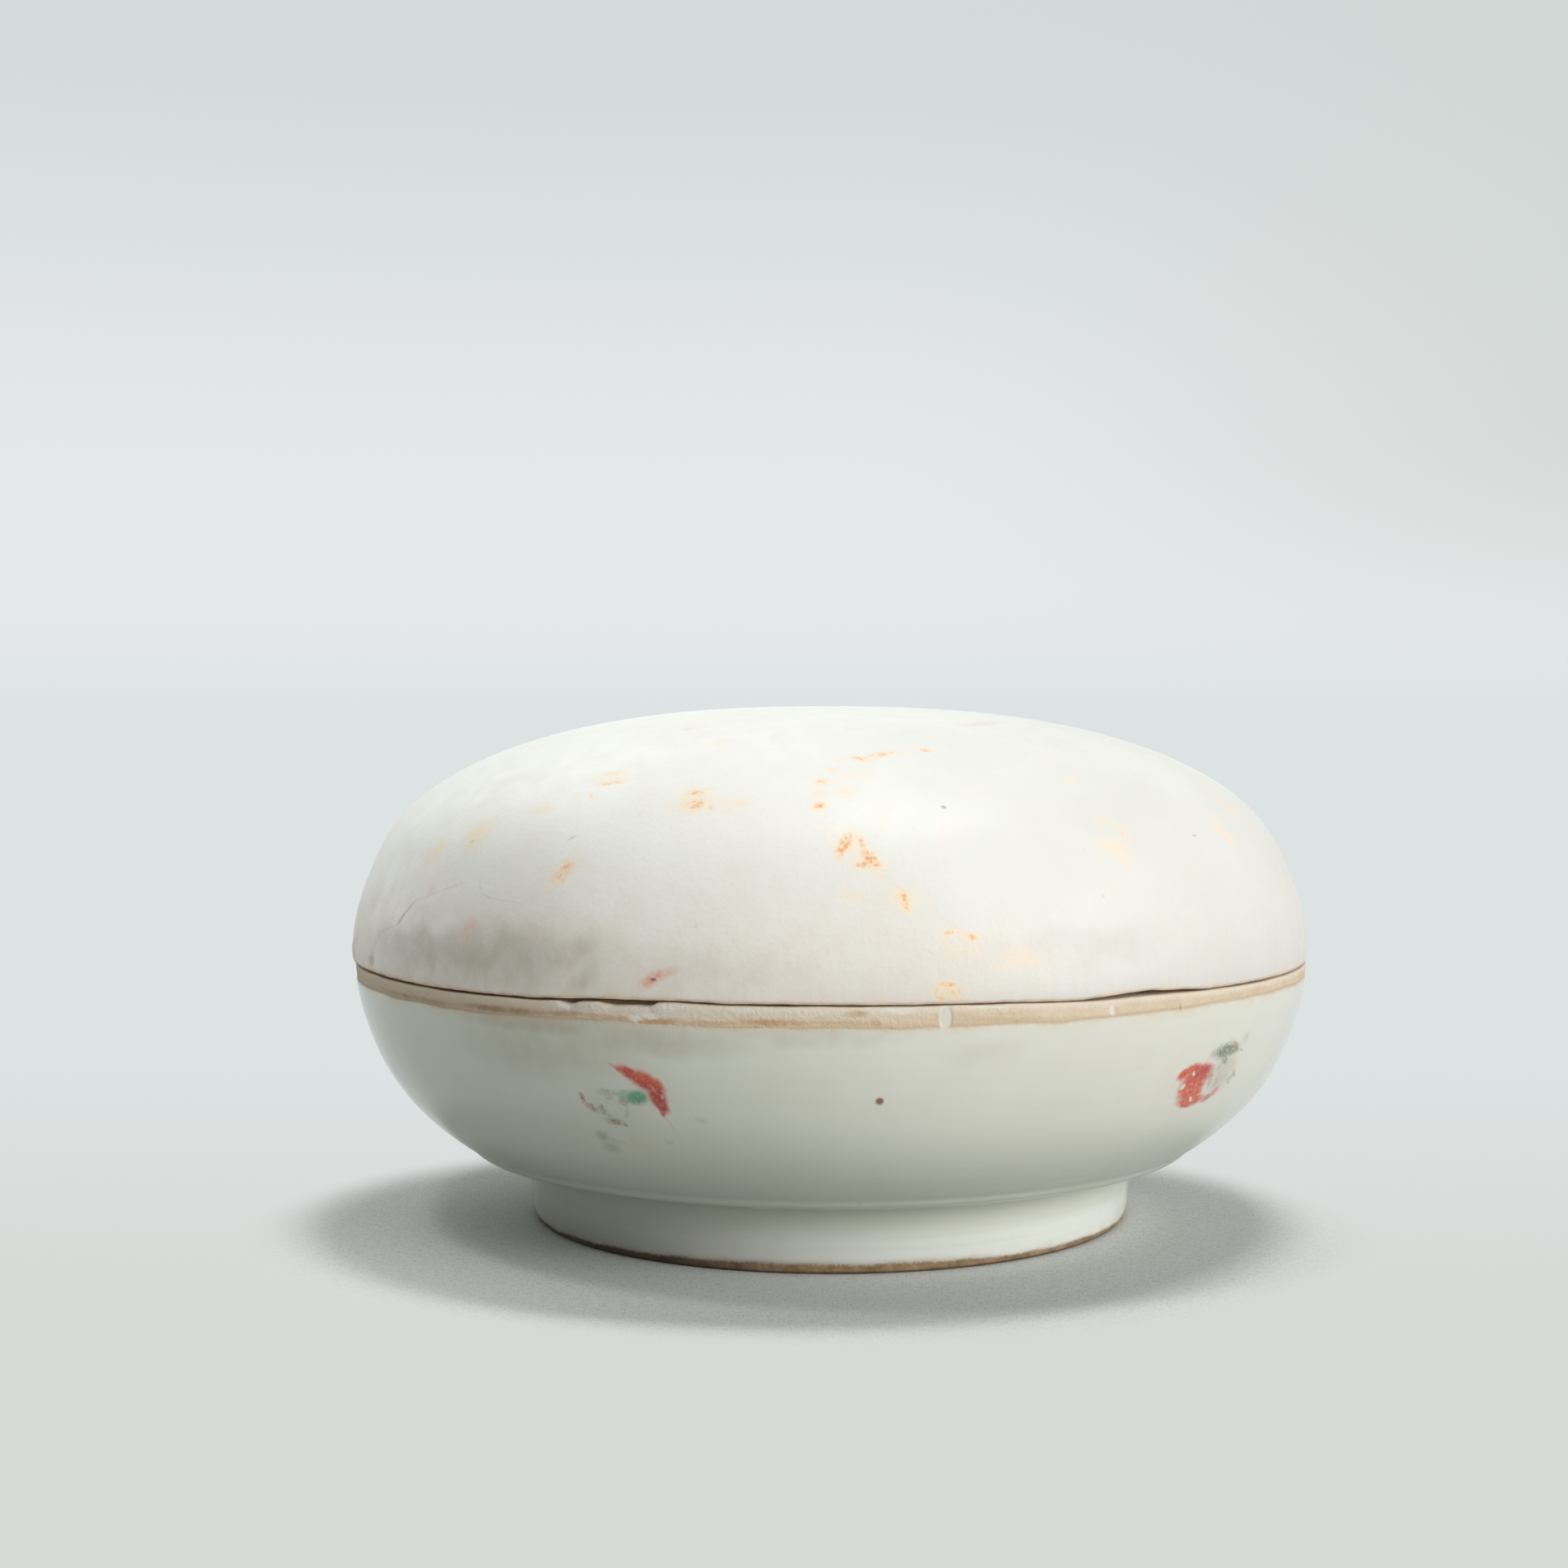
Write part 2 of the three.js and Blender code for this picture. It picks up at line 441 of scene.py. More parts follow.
def wobble(angles, waves):
    return sum(height * np.sin(count * angles + phase) for count, height, phase in waves)


def fade(values, start, end):
    """From 0 to 1 between two values."""
    return np.clip((values - start) / (end - start), 0, 1)


def bell(values, middle, width):
    """1 in the middle, and smoothly less on both sides of it."""
    return np.exp(-((values - middle) / width) ** 2)


def push_out(points, amounts):
    radius = np.maximum(np.hypot(points[:, 0], points[:, 1]), TINY)
    points[:, :2] *= (1 + amounts / radius)[:, None]


def shaped_bowl(turned):
    points = turned.points.copy()
    angles = np.arctan2(points[:, 1], points[:, 0])
    radius = np.hypot(points[:, 0], points[:, 1])
    past_flange = radius - FLANGE_OUTER
    high = points[:, 2] > SEAT - 2 * BAND_HEIGHT
    near_line = bell(turned.bare, 0, LINE_REACH) * high * (past_flange > LINE_PAST_FLANGE)
    points[:, 2] += near_line * (wave(GLAZE_LINE, angles) + wobble(angles, GLAZE_WAVES))
    from_seat = points[:, 2] - SEAT
    outer = fade(past_flange, *SEAT_FADE)
    points[:, 2] -= wave(SEAT_DROP, angles) * fade(from_seat, *SUNK_FADE) * outer
    chipped = wave(SEAT_CHIPS, angles) + wobble(angles, SEAT_WAVES)
    chipped *= fade(from_seat, *CHIP_FADE) * outer * high
    points[:, 2] -= chipped
    push_out(points, -CHIP_HOLLOW * np.maximum(chipped, 0))
    foot_edge = (points[:, 2] < FOOT_EDGE_TOP) * (radius > FOOT_BOTTOM - FOOT_EDGE_WIDTH)
    foot_wave = wave(FOOT_LINE, angles, FOOT_BOTTOM) + wobble(angles, FOOT_WAVES)
    foot_wave *= bell(turned.bare, 0, FOOT_REACH) * foot_edge
    points[:, 2] += fade(points[:, 2], *FOOT_FADE) * foot_wave
    push_out(points, wobble(angles, BOWL_WAVES) * radius / BOWL_RADIUS)
    push_out(points, -BELLY_SLACK * bell(points[:, 2], BELLY_SLACK_HEIGHT, BELLY_SLACK_WIDTH))
    return points


# Dents in the lid: the pixel that sees each, its width and its depth in millimetres
LID_DENTS = dict(
    drip=((458, 1181), 0.5, 0.28), flat=((462, 1120), 3.5, 0.12),
    left_swell=((437, 1163), 1.3, -0.22), low_dent=((714, 1176), 1, 0.08),
    rim_dent=((713, 1214), 0.6, 0.1),
)


def shaped_lid(turned, surface):
    points = turned.points.copy()
    angles = np.arctan2(points[:, 1], points[:, 0])
    rise = points[:, 2] - LID_SEAM
    push_out(points, -SHOULDER_SLACK * bell(rise, SHOULDER_RISE, SHOULDER_WIDTH))
    points[:, 2] -= CROWN_SAG * (rise / LID_RISE) ** 3
    outer = fade(np.hypot(points[:, 0], points[:, 1]) - FLANGE_OUTER, *RIM_FADE)
    lift = wave(SEAM_LIFT, angles) - wave(SEAT_DROP, angles) * outer
    lift += wobble(angles, RIM_WAVES) + np.abs(wobble(angles, RIM_CRUMBS))
    points[:, 2] += np.exp(-rise / RIM_REACH) * lift
    for pixel, width, depth in LID_DENTS.values():
        place, normal = surface.touch(pixel)
        away = np.linalg.norm(turned.points - np.array(place), axis=1)
        points -= np.outer(depth * bell(away, 0, width), np.array(normal))
    push_out(points, wobble(angles, LID_WAVES))
    points[:, 0] += LID_SHIFT
    return points


# The map that materials are baked to: a large disc for the outside and a small one for the inside

Disc = namedtuple("Disc", "middle radius")
OUTSIDE_DISC = Disc((0.425, 0.425), 0.42)
INSIDE_DISC = Disc((0.84, 0.84), 0.155)


def lay_out(mesh, turned, split, first, second):
    """Lays the rings up to a split on the first disc, from its middle out, and the others on the second."""
    corners = np.array([corner for face in turned.faces for corner in face])
    sizes = [len(face) for face in turned.faces]
    highest = np.repeat([max(turned.ring[list(face)]) for face in turned.faces], sizes)
    start = highest <= split
    along = turned.along[turned.ring[corners]]
    whole, half = turned.along[-1], turned.along[split]
    share = np.where(start, along / half, (whole - along) / (whole - half))
    radius = share * np.where(start, first.radius, second.radius)
    angle = np.arctan2(turned.points[corners, 1], turned.points[corners, 0])
    middle = np.where(start[:, None], first.middle, second.middle)
    places = middle + radius[:, None] * np.stack((np.cos(angle), np.sin(angle)), -1)
    layer = mesh.uv_layers.new(name="OFBake")
    layer.uv.foreach_set("vector", places.astype(np.float32).ravel())


def make_piece(name, turned):
    mesh = bpy.data.meshes.new(name)
    mesh.from_pydata((turned.points * MM).tolist(), [], turned.faces)
    mesh.attributes.new("bare", "FLOAT", "POINT").data.foreach_set("value", turned.bare.astype(np.float32))
    mesh.shade_smooth()
    return add_object(name, mesh)


# Marks: strokes from a pixel x, y to another, with a width in pixels and a strength up to 1

Stroke = namedtuple("Stroke", "x y end_x end_y width strength", defaults=(1,))
LEAST_STROKE = 0.05
STROKE_DEPTH = 0.7
STROKE_MARGIN = 1


class Surface:
    """The shape of a piece, on which rays find the places of marks."""

    def __init__(self, turned):
        self.tree = BVHTree.FromPolygons(turned.points.tolist(), turned.faces)

    def touch(self, *pixels):
        """The place and normal where the first of the pixels that doesn't miss sees the piece."""
        for pixel in pixels:
            place, normal, _, _ = self.tree.ray_cast(EYE, ray_through(pixel))
            if place is not None:
                return place, normal
        raise ValueError(f"pixels {pixels} miss the porcelain")

    def patch(self, stroke):
        """The centre of the patch of porcelain that a stroke covers, and its axes over its half sizes."""
        start, end = Vector((stroke.x, stroke.y)), Vector((stroke.end_x, stroke.end_y))
        way = (end - start).normalized()
        reach = way * stroke.width / 2
        side = Vector((-way.y, way.x)) * stroke.width / 2
        middle = (start + end) / 2
        centre, normal = self.touch(middle)
        last = self.touch(end)[0]
        along = 2 * last - self.touch(end - reach)[0] - centre
        along -= normal * along.dot(normal)
        edge = self.touch(middle + side, middle - side)[0] - centre
        x_axis = along.normalized()
        y_axis = normal.cross(x_axis)
        width = max(abs(edge.dot(y_axis)), LEAST_STROKE)
        length = along.length
        depth = max(length, width) * STROKE_DEPTH + STROKE_MARGIN
        return centre, x_axis / length, y_axis / width, normal / depth


# Shader nodes

# Sockets by which a mix node takes and gives colours
MIX_FIRST, MIX_SECOND, MIX_RESULT = 6, 7, 2


def put(socket, value):
    """Joins a socket to another, or sets it to a constant."""
    if isinstance(value, bpy.types.NodeSocket):
        socket.id_data.links.new(value, socket)
    else:
        socket.default_value = value


def node(tree, kind, settings=None, **values):
    made = tree.nodes.new("ShaderNode" + kind)
    for name, value in (settings or {}).items():
        setattr(made, name, value)
    for name, value in values.items():
        put(made.inputs[name.replace("_", " ")], value)
    return made


def join(kind, settings, *given):
    """A node in the tree of the sockets that are given, with its first inputs filled in order."""
    tree = next(value.id_data for value in given if isinstance(value, bpy.types.NodeSocket))
    made = node(tree, kind, settings)
    for socket, value in zip(made.inputs, given):
        put(socket, value)
    return made.outputs


def compute(operation, first, second=0):
    return join("Math", {"operation": operation}, first, second)[0]


add = partial(compute, "ADD")
times = partial(compute, "MULTIPLY")
most = partial(compute, "MAXIMUM")


def ramp(value, low, high, to_low=0, to_high=1):
    """A smooth step from one value to another."""
    smooth = {"interpolation_type": "SMOOTHSTEP"}
    return join("MapRange", smooth, value, low, high, to_low, to_high)[0]


def mix(share, first, second):
    made = node(share.id_data, "Mix", {"data_type": "RGBA"})
    put(made.inputs[0], share)
    put(made.inputs[MIX_FIRST], first)
    put(made.inputs[MIX_SECOND], second)
    return made.outputs[MIX_RESULT]


def blend(share, first, second):
    """One shader turning into another."""
    return join("MixShader", {}, share, first, second)[0]


def noise(vector, scale, detail=3, rough=0.5):
    made = node(vector.id_data, "TexNoise", Vector=vector, Scale=scale, Detail=detail,
                Roughness=rough)
    return made.outputs["Fac"]


def cells(vector, scale):
    """The distance to the nearest of many scattered points."""
    return node(vector.id_data, "TexVoronoi", Vector=vector, Scale=scale).outputs["Distance"]


def combine(operation, first, second):
    return join("VectorMath", {"operation": operation}, first, second)["Vector"]


def measure(operation, *given):
    """A number from vectors: the LENGTH of one, or the DOT_PRODUCT of two."""
    return join("VectorMath", {"operation": operation}, *given)["Value"]


def stretched(vector, scale):
    return combine("MULTIPLY", vector, scale)


def parts_of(vector):
    return node(vector.id_data, "SeparateXYZ", Vector=vector).outputs


def jittered(vector, scale, reach):
    """Coordinates pushed about by a noise, so that marks get ragged edges."""
    cloud = node(vector.id_data, "TexNoise", Vector=vector, Scale=scale, Detail=3)
    shift = combine("SUBTRACT", cloud.outputs["Color"], (0.5,) * 3)
    return combine("ADD", vector, stretched(shift, (2 * reach,) * 3))


def bump(height, distance, strength, **normal):
    made = node(height.id_data, "Bump", Height=height, Distance=distance,
                Strength=strength, **normal)
    return made.outputs[0]


def stroke_group():
    """A node group: how deep a point lies in an oval patch, from 0 at its rim to 1."""
    tree = bpy.data.node_groups.new("stroke", "ShaderNodeTree")
    axes = ("Along", "Across", "Out")
    for name in ("Vector", "Centre", *axes):
        tree.interface.new_socket(name, in_out="INPUT", socket_type="NodeSocketVector")
    for name in ("Strength", "Rim", "Core"):
        tree.interface.new_socket(name, in_out="INPUT", socket_type="NodeSocketFloat")
    tree.interface.new_socket("Mask", in_out="OUTPUT", socket_type="NodeSocketFloat")
    given = tree.nodes.new("NodeGroupInput").outputs
    offset = combine("SUBTRACT", given["Vector"], given["Centre"])
    x, y, z = (measure("DOT_PRODUCT", offset, given[name]) for name in axes)
    local = node(tree, "CombineXYZ", X=x, Y=y, Z=z).outputs[0]
    inside = ramp(measure("LENGTH", local), given["Rim"], given["Core"])
    mask = times(inside, given["Strength"])
    put(tree.nodes.new("NodeGroupOutput").inputs[0], mask)
    return tree


STROKE_GROUP = stroke_group()


class Paint:
    """A colour that is built up in washes of ink, and the marks that are laid on a surface."""

    def __init__(self, surface, colour):
        self.surface = surface
        self.colour = colour

    def wash(self, mask, ink, share=None):
        """Lays an ink over the colour where the mask, or a share of it, lets it."""
        if share is not None:
            mask = times(mask, share)
        self.colour = mix(mask, self.colour, ink)

    def marks(self, vector, strokes, soft):
        """The most that any of the strokes covers a point; soft is the share of its width that fades."""
        mask = 0
        for numbers in strokes.values():
            stroke = Stroke(*numbers)
            centre, along, across, out = self.surface.patch(stroke)
            one = node(vector.id_data, "Group", {"node_tree": STROKE_GROUP}, Vector=vector,
                       Centre=centre, Along=along, Across=across, Out=out,
                       Strength=stroke.strength, Rim=1 + soft, Core=1 - soft)
            mask = most(mask, one.outputs[0])
        return mask


def new_material(name):
    """A material, its node tree, and the place on the piece in millimetres."""
    material = bpy.data.materials.new(name)
    material.use_nodes = True
    tree = material.node_tree
    tree.nodes.clear()
    coordinates = node(tree, "TexCoord").outputs["Object"]
    return material, tree, stretched(coordinates, (1 / MM,) * 3)


def bare_depth(tree):
    """How deep a point lies in bare clay, or out of it where it is negative."""
    return node(tree, "Attribute", {"attribute_name": "bare"}).outputs["Fac"]


def finish_material(tree, **values):
    shader = node(tree, "BsdfPrincipled", **values)
    put(node(tree, "OutputMaterial").inputs["Surface"], shader.outputs[0])


# Lid

LID_ORANGE = dict(
    arc=(1051, 933, 1069, 936, 7, 0.75), arc_right=(1068, 933, 1102, 926, 8, 0.7),
    arc_tail=(1102, 927, 1116, 929, 6, 0.3), arc_dash=(1133, 924, 1147, 925, 5, 0.9),
    arc_step=(1033, 938, 1040, 937, 5, 0.35), arc_dot_high=(1020, 948, 1028, 948, 8, 0.4),
    arc_dot=(1008, 963, 1017, 963, 7, 0.8), arc_dot_pale=(1008, 977, 1015, 978, 8, 0.35),
    arc_dot_low=(1007, 993, 1012, 992, 10, 0.95), blotch=(1037, 1048, 1045, 1032, 15),
    blotch_left=(1031, 1047, 1038, 1044, 9, 0.8), blotch_right=(1057, 1031, 1065, 1043, 9, 0.85),
    blotch_low=(1068, 1052, 1079, 1065, 14), blotch_base=(1058, 1066, 1070, 1065, 11, 0.9),
    drop=(1112, 1101, 1116, 1117, 10), drop_side=(1105, 1105, 1110, 1105, 8, 0.5),
    pair_left=(1165, 1153, 1171, 1147, 9, 0.7), pair_bar=(1172, 1150, 1182, 1148, 5, 0.75),
    pair_right=(1192, 1154, 1200, 1155, 10, 0.8), ring_top=(1161, 1212, 1176, 1213, 7, 0.85),
    ring_left=(1153, 1224, 1156, 1215, 6, 0.6), ring_right=(1182, 1219, 1179, 1229, 6, 0.65),
    ring_inside=(1172, 1222, 1176, 1224, 7, 0.7), ring_foot=(1155, 1229, 1161, 1231, 8, 0.75),
    smudge_bar=(850, 976, 866, 976, 9, 0.75), smudge_bar_right=(867, 975, 878, 971, 6, 0.45),
    smudge_blob=(853, 991, 863, 991, 14, 0.85), smudge_nick=(873, 993, 878, 997, 5, 0.6),
    smudge_far=(895, 999, 899, 999, 6, 0.4), smudge_end=(908, 990, 917, 990, 8, 0.45),
    dash=(739, 966, 765, 964, 5, 0.75), dash_over=(745, 954, 766, 952, 6, 0.45),
    dash_spot=(728, 983, 728, 978, 5, 0.55), oval=(581, 1035, 596, 1022, 15, 0.42),
    slant=(533, 1060, 544, 1041, 10, 0.3), leaf=(695, 1073, 701, 1066, 13, 0.8),
    leaf_middle=(687, 1079, 693, 1077, 11, 0.65), leaf_dots=(681, 1085, 684, 1083, 6, 0.5),
    leaf_foot=(693, 1085, 696, 1083, 6, 0.5), streak=(1379, 1018, 1388, 1034, 7, 0.6),
    streak_low=(1383, 1058, 1391, 1072, 6, 0.35), edge_streak=(1502, 1025, 1516, 1034, 8, 0.45),
    rim_streak=(1514, 994, 1528, 1009, 7, 0.35), right_top=(1316, 958, 1322, 960, 8, 0.35),
)
LID_PEACH = dict(
    arc_field=(1042, 957, 1064, 953, 12, 0.45), arc_spot=(1039, 976, 1045, 977, 15, 0.6),
    arc_side=(1012, 965, 1013, 988, 18, 0.35), blotch_halo=(1036, 1034, 1072, 1064, 36, 0.5),
    drop_halo=(1108, 1108, 1117, 1109, 26, 0.6), drop_left=(1038, 1104, 1056, 1105, 13, 0.65),
    drop_right=(1130, 1106, 1144, 1107, 7, 0.4), pair_halo=(1168, 1152, 1198, 1156, 20, 0.35),
    pair_under=(1173, 1171, 1186, 1175, 18, 0.45), pair_foot=(1196, 1168, 1202, 1174, 12, 0.65),
    low_field=(1246, 1178, 1274, 1182, 25, 0.7), low_field_left=(1230, 1192, 1244, 1190, 12, 0.6),
    ring_field=(1159, 1221, 1177, 1221, 20, 0.8), smudge_halo=(841, 988, 866, 988, 24, 0.75),
    smudge_wide=(874, 986, 912, 992, 20, 0.4), dash_halo=(738, 960, 770, 958, 15, 0.45),
    far_left=(702, 939, 720, 935, 6, 0.4), left_pale=(666, 997, 677, 996, 12, 0.6),
    left_pale_end=(653, 994, 659, 993, 8, 0.4), oval_halo=(577, 1036, 598, 1020, 20, 0.5),
    slant_halo=(531, 1062, 546, 1039, 14, 0.45), leaf_halo=(680, 1086, 702, 1065, 20, 0.5),
    left_pink=(607, 1012, 615, 1011, 8, 0.35), streak_field=(1364, 1042, 1382, 1047, 22, 0.75),
    streak_left=(1352, 1012, 1366, 1010, 12, 0.4), edge_field=(1490, 1006, 1500, 1014, 12, 0.4),
    rim_field=(1498, 985, 1507, 990, 10, 0.4), top_left=(878, 916, 896, 914, 6, 0.55),
    top=(842, 905, 860, 903, 5, 0.3), right_middle=(1430, 1016, 1438, 1017, 8, 0.25),
)
LID_RED = dict(
    red_spot=(797, 1210, 810, 1203, 14, 0.95), red_tail=(810, 1203, 828, 1197, 10, 0.55),
    pink_field=(574, 1150, 581, 1142, 16, 0.35), pink_high=(531, 1098, 535, 1093, 9, 0.25),
    top_pink=(1190, 893, 1228, 891, 5, 0.35), top_left_pink=(843, 898, 853, 898, 4, 0.3),
)
LID_DARK = dict(
    hairline_low=(490, 1138, 500, 1124, 3, 0.45), hairline=(499, 1125, 512, 1110, 2.5, 0.23),
    hairline_middle=(514, 1109, 544, 1097, 2.5, 0.11), hairline_end=(546, 1096, 571, 1088, 3, 0.1),
    hairline_foot=(489, 1139, 468, 1149, 2.5, 0.1), hairline_rim=(466, 1151, 459, 1176, 3, 0.11),
    branch=(591, 1084, 592, 1099, 2.5, 0.1), branch_bend=(593, 1101, 605, 1107, 3, 0.14),
    branch_end=(606, 1107, 640, 1113, 2.5, 0.09), pinpoint=(1161.5, 994, 1164, 995, 3.5, 0.55),
    red_centre=(803.5, 1207, 806.5, 1207, 4, 0.85), oval_speck=(581, 1037, 583.5, 1036.5, 3, 0.22),
    nick=(700, 1035, 710, 1030, 2.5, 0.2), right_pinpoint=(1470.5, 1029.5, 1472.5, 1029.5, 2.5, 0.35),
    dent_shade=(457.5, 1180, 458.5, 1187, 7, 0.25),
)
# Grey patches on the lid: smudges of dirt with painted shade in them. The greys on the lower left are stain
# and painted shade where the lid turns away from the light, and the patch on the right is painted shade
# over its brightly lit side.
LID_SMUDGE_AND_SHADE = dict(
    left_grey=(545, 1174, 682, 1178, 64, 0.95), upper_grey=(592, 1118, 682, 1136, 48, 0.12),
    far_left_grey=(470, 1158, 580, 1186, 44, 0.9), crack_shade=(510, 1126, 600, 1118, 26, 0.15),
    low_grey=(710, 1178, 721, 1166, 34, 0.7), rim_grey=(706, 1213, 721, 1207, 18, 0.6),
    front_grey=(790, 1186, 930, 1196, 40, 0.22), right_painted_shade=(1290, 1164, 1400, 1160, 40, 0.3),
)


def lid_base(surface, place, chalk, grain):
    """Warm white, unevenly stained towards the rim, with faint upright streaks, and painted shade that
    makes the right side darker than the left.
    """
    parts = parts_of(place)
    above_rim = add(parts["Z"], -LID_SEAM)
    painted_light_side = ramp(parts["X"], -22, 26)
    cloud = noise(place, 0.07, 3)
    blotch = noise(place, 0.22, 4, 0.6)
    streaks = noise(stretched(place, (2, 2, 0.16)), 1, 4)
    low = ramp(add(above_rim, times(add(blotch, -0.5), 14)), 12, -1)
    # Painted shade: the right side, where the light falls strongest, is given a darker white than the left.
    aged = mix(painted_light_side, srgb(226, 225, 218), srgb(211, 210, 204))
    fresh = mix(painted_light_side, srgb(231, 230, 224), srgb(216, 216, 210))
    paint = Paint(surface, mix(ramp(cloud, 0.3, 0.7), aged, fresh))
    ghosts = ramp(noise(place, 0.38, 4, 0.62), 0.56, 0.7)
    paint.wash(ghosts, srgb(232, 212, 190), 0.16)
    darkening = times(low, ramp(chalk, 0.3, 0.7, 0.6, 1))
    darkening = times(darkening, ramp(parts["X"], 8, 20, 1, 0.3))
    paint.wash(darkening, srgb(218, 209, 196))
    paint.wash(times(low, ramp(streaks, 0.45, 0.75, 0, 0.2)), srgb(202, 193, 179))
    paint.wash(ramp(chalk, 0.52, 0.78, 0, 0.12), srgb(226, 220, 206))
    paint.wash(ramp(grain, 0.52, 0.78, 0, 0.2), srgb(206, 199, 186))
    pits = cells(place, 0.22)
    paint.wash(ramp(pits, 0.05, 0.02, 0, 0.18), srgb(150, 140, 128))
    return paint


def lid_material(surface):
    material, tree, place = new_material("lid_glaze")
    ragged = jittered(place, 2.2, 0.16)
    grain = noise(place, 2.2, 5, 0.65)
    chalk = noise(place, 0.5, 5, 0.6)
    clumps = ramp(noise(place, 2.8, 4, 0.65), 0.34, 0.62, 0.45, 1.15)
    paint = lid_base(surface, place, chalk, grain)

    # Smudges, and painted shade on the lower left and on the right.
    smudge_and_shade = paint.marks(jittered(place, 0.3, 1.4), LID_SMUDGE_AND_SHADE, 0.8)
    paint.wash(smudge_and_shade, srgb(172, 164, 151), ramp(chalk, 0.3, 0.7, 0.5, 0.75))
    peach = times(paint.marks(ragged, LID_PEACH, 0.75), clumps)
    paint.wash(peach, srgb(236, 212, 174), 0.62)
    orange = times(paint.marks(ragged, LID_ORANGE, 0.85), clumps)
    ink = mix(ramp(orange, 0.25, 1), srgb(240, 209, 163), srgb(223, 160, 106))
    paint.wash(orange, ink, 0.95)
    red = times(paint.marks(ragged, LID_RED, 0.75), clumps)
    paint.wash(red, srgb(214, 140, 112), 0.85)
    paint.wash(paint.marks(jittered(place, 2, 0.05), LID_DARK, 0.5), srgb(110, 98, 94))

    bare = add(bare_depth(tree), times(add(chalk, -0.5), 0.8))
    clay = ramp(bare, -0.1, 0.2)
    clay_colour = mix(ramp(chalk, 0.35, 0.65), srgb(190, 158, 122), srgb(222, 202, 176))
    paint.wash(clay, clay_colour, 0.9)

    rough = ramp(chalk, 0.3, 0.7, 0.42, 0.56)
    rough = most(rough, times(clay, 0.9))
    relief = bump(add(times(grain, 0.4), chalk), 0.00012, 0.4)
    finish_material(tree, Base_Color=paint.colour, Roughness=rough, Normal=relief, IOR=1.5)
    return material


# Bowl

BOWL_RED = dict(
    left_tip=(759, 1315.5, 770, 1320, 6, 0.9), left_wing=(767, 1318, 789, 1330, 13),
    left_wing_wide=(784, 1327, 804, 1337, 19), left_wing_end=(798, 1334, 810, 1342, 19),
    left_blade=(807, 1344, 813, 1358, 19), left_blade_low=(812, 1356, 818, 1366, 14),
    left_blade_tip=(815, 1367, 817, 1373, 7, 0.9), right_corner=(1454, 1327, 1462, 1321, 8),
    right_top=(1464, 1320, 1476, 1316, 11), right_top_wide=(1474, 1321, 1487, 1318, 15),
    right_middle=(1466, 1329, 1483, 1326, 17), right_waist=(1466, 1338, 1477, 1336, 15),
    right_side=(1456, 1344, 1463, 1336, 11), right_low=(1459, 1349, 1475, 1345, 14),
    right_foot=(1458, 1357, 1475, 1354, 13), right_foot_left=(1457, 1361, 1464, 1361, 8),
    right_tail=(1481, 1355, 1491, 1350, 6, 0.7), right_tail_end=(1492, 1349, 1500, 1341, 5, 0.55),
)
BOWL_CRIMSON = dict(
    left_under=(786, 1333, 806, 1345, 10, 0.8), left_blade=(806, 1345, 816, 1366, 17),
    right_top=(1478, 1322, 1487, 1319, 15, 0.8), right_tail=(1478, 1357, 1491, 1350, 8, 0.7),
)
BOWL_RED_GAPS = dict(
    left_speck=(815.5, 1350, 816.5, 1353, 4, 0.5), left_grey=(803, 1340, 807, 1343, 4, 0.4),
    right_notch=(1455, 1341, 1459, 1338, 5, 0.85), right_speck=(1471, 1321, 1471, 1325, 3, 0.9),
    right_low_speck=(1466.5, 1353, 1467, 1356, 4, 0.8), right_bay=(1483, 1345, 1486, 1338, 5, 0.8),
)
BOWL_PINK = dict(
    left_hair=(818, 1376, 834, 1394, 2.5, 0.6), left_halo=(776, 1320, 816, 1346, 26, 0.22),
    left_tip=(749, 1308, 752, 1311, 4, 0.4), right_speck=(1493, 1300, 1497, 1297, 6, 0.5),
    right_link=(1488, 1310, 1492, 1305, 5, 0.4), right_halo=(1462, 1338, 1482, 1338, 56, 0.2),
    right_edge=(1519, 1283, 1523, 1287, 6, 0.6),
)
BOWL_GREEN = dict(
    left_leaf=(780, 1353, 789, 1352, 17), left_leaf_edge=(766, 1348, 778, 1351, 12, 0.5),
)
BOWL_BROWN = dict(
    left_stroke=(716, 1349, 719.5, 1356, 5, 0.85), left_blotch=(725, 1362, 734, 1367, 7, 0.8),
    left_ember=(757, 1382, 762, 1382.5, 6, 0.7), right_brown=(1522.5, 1286, 1524.5, 1293, 4, 0.75),
)
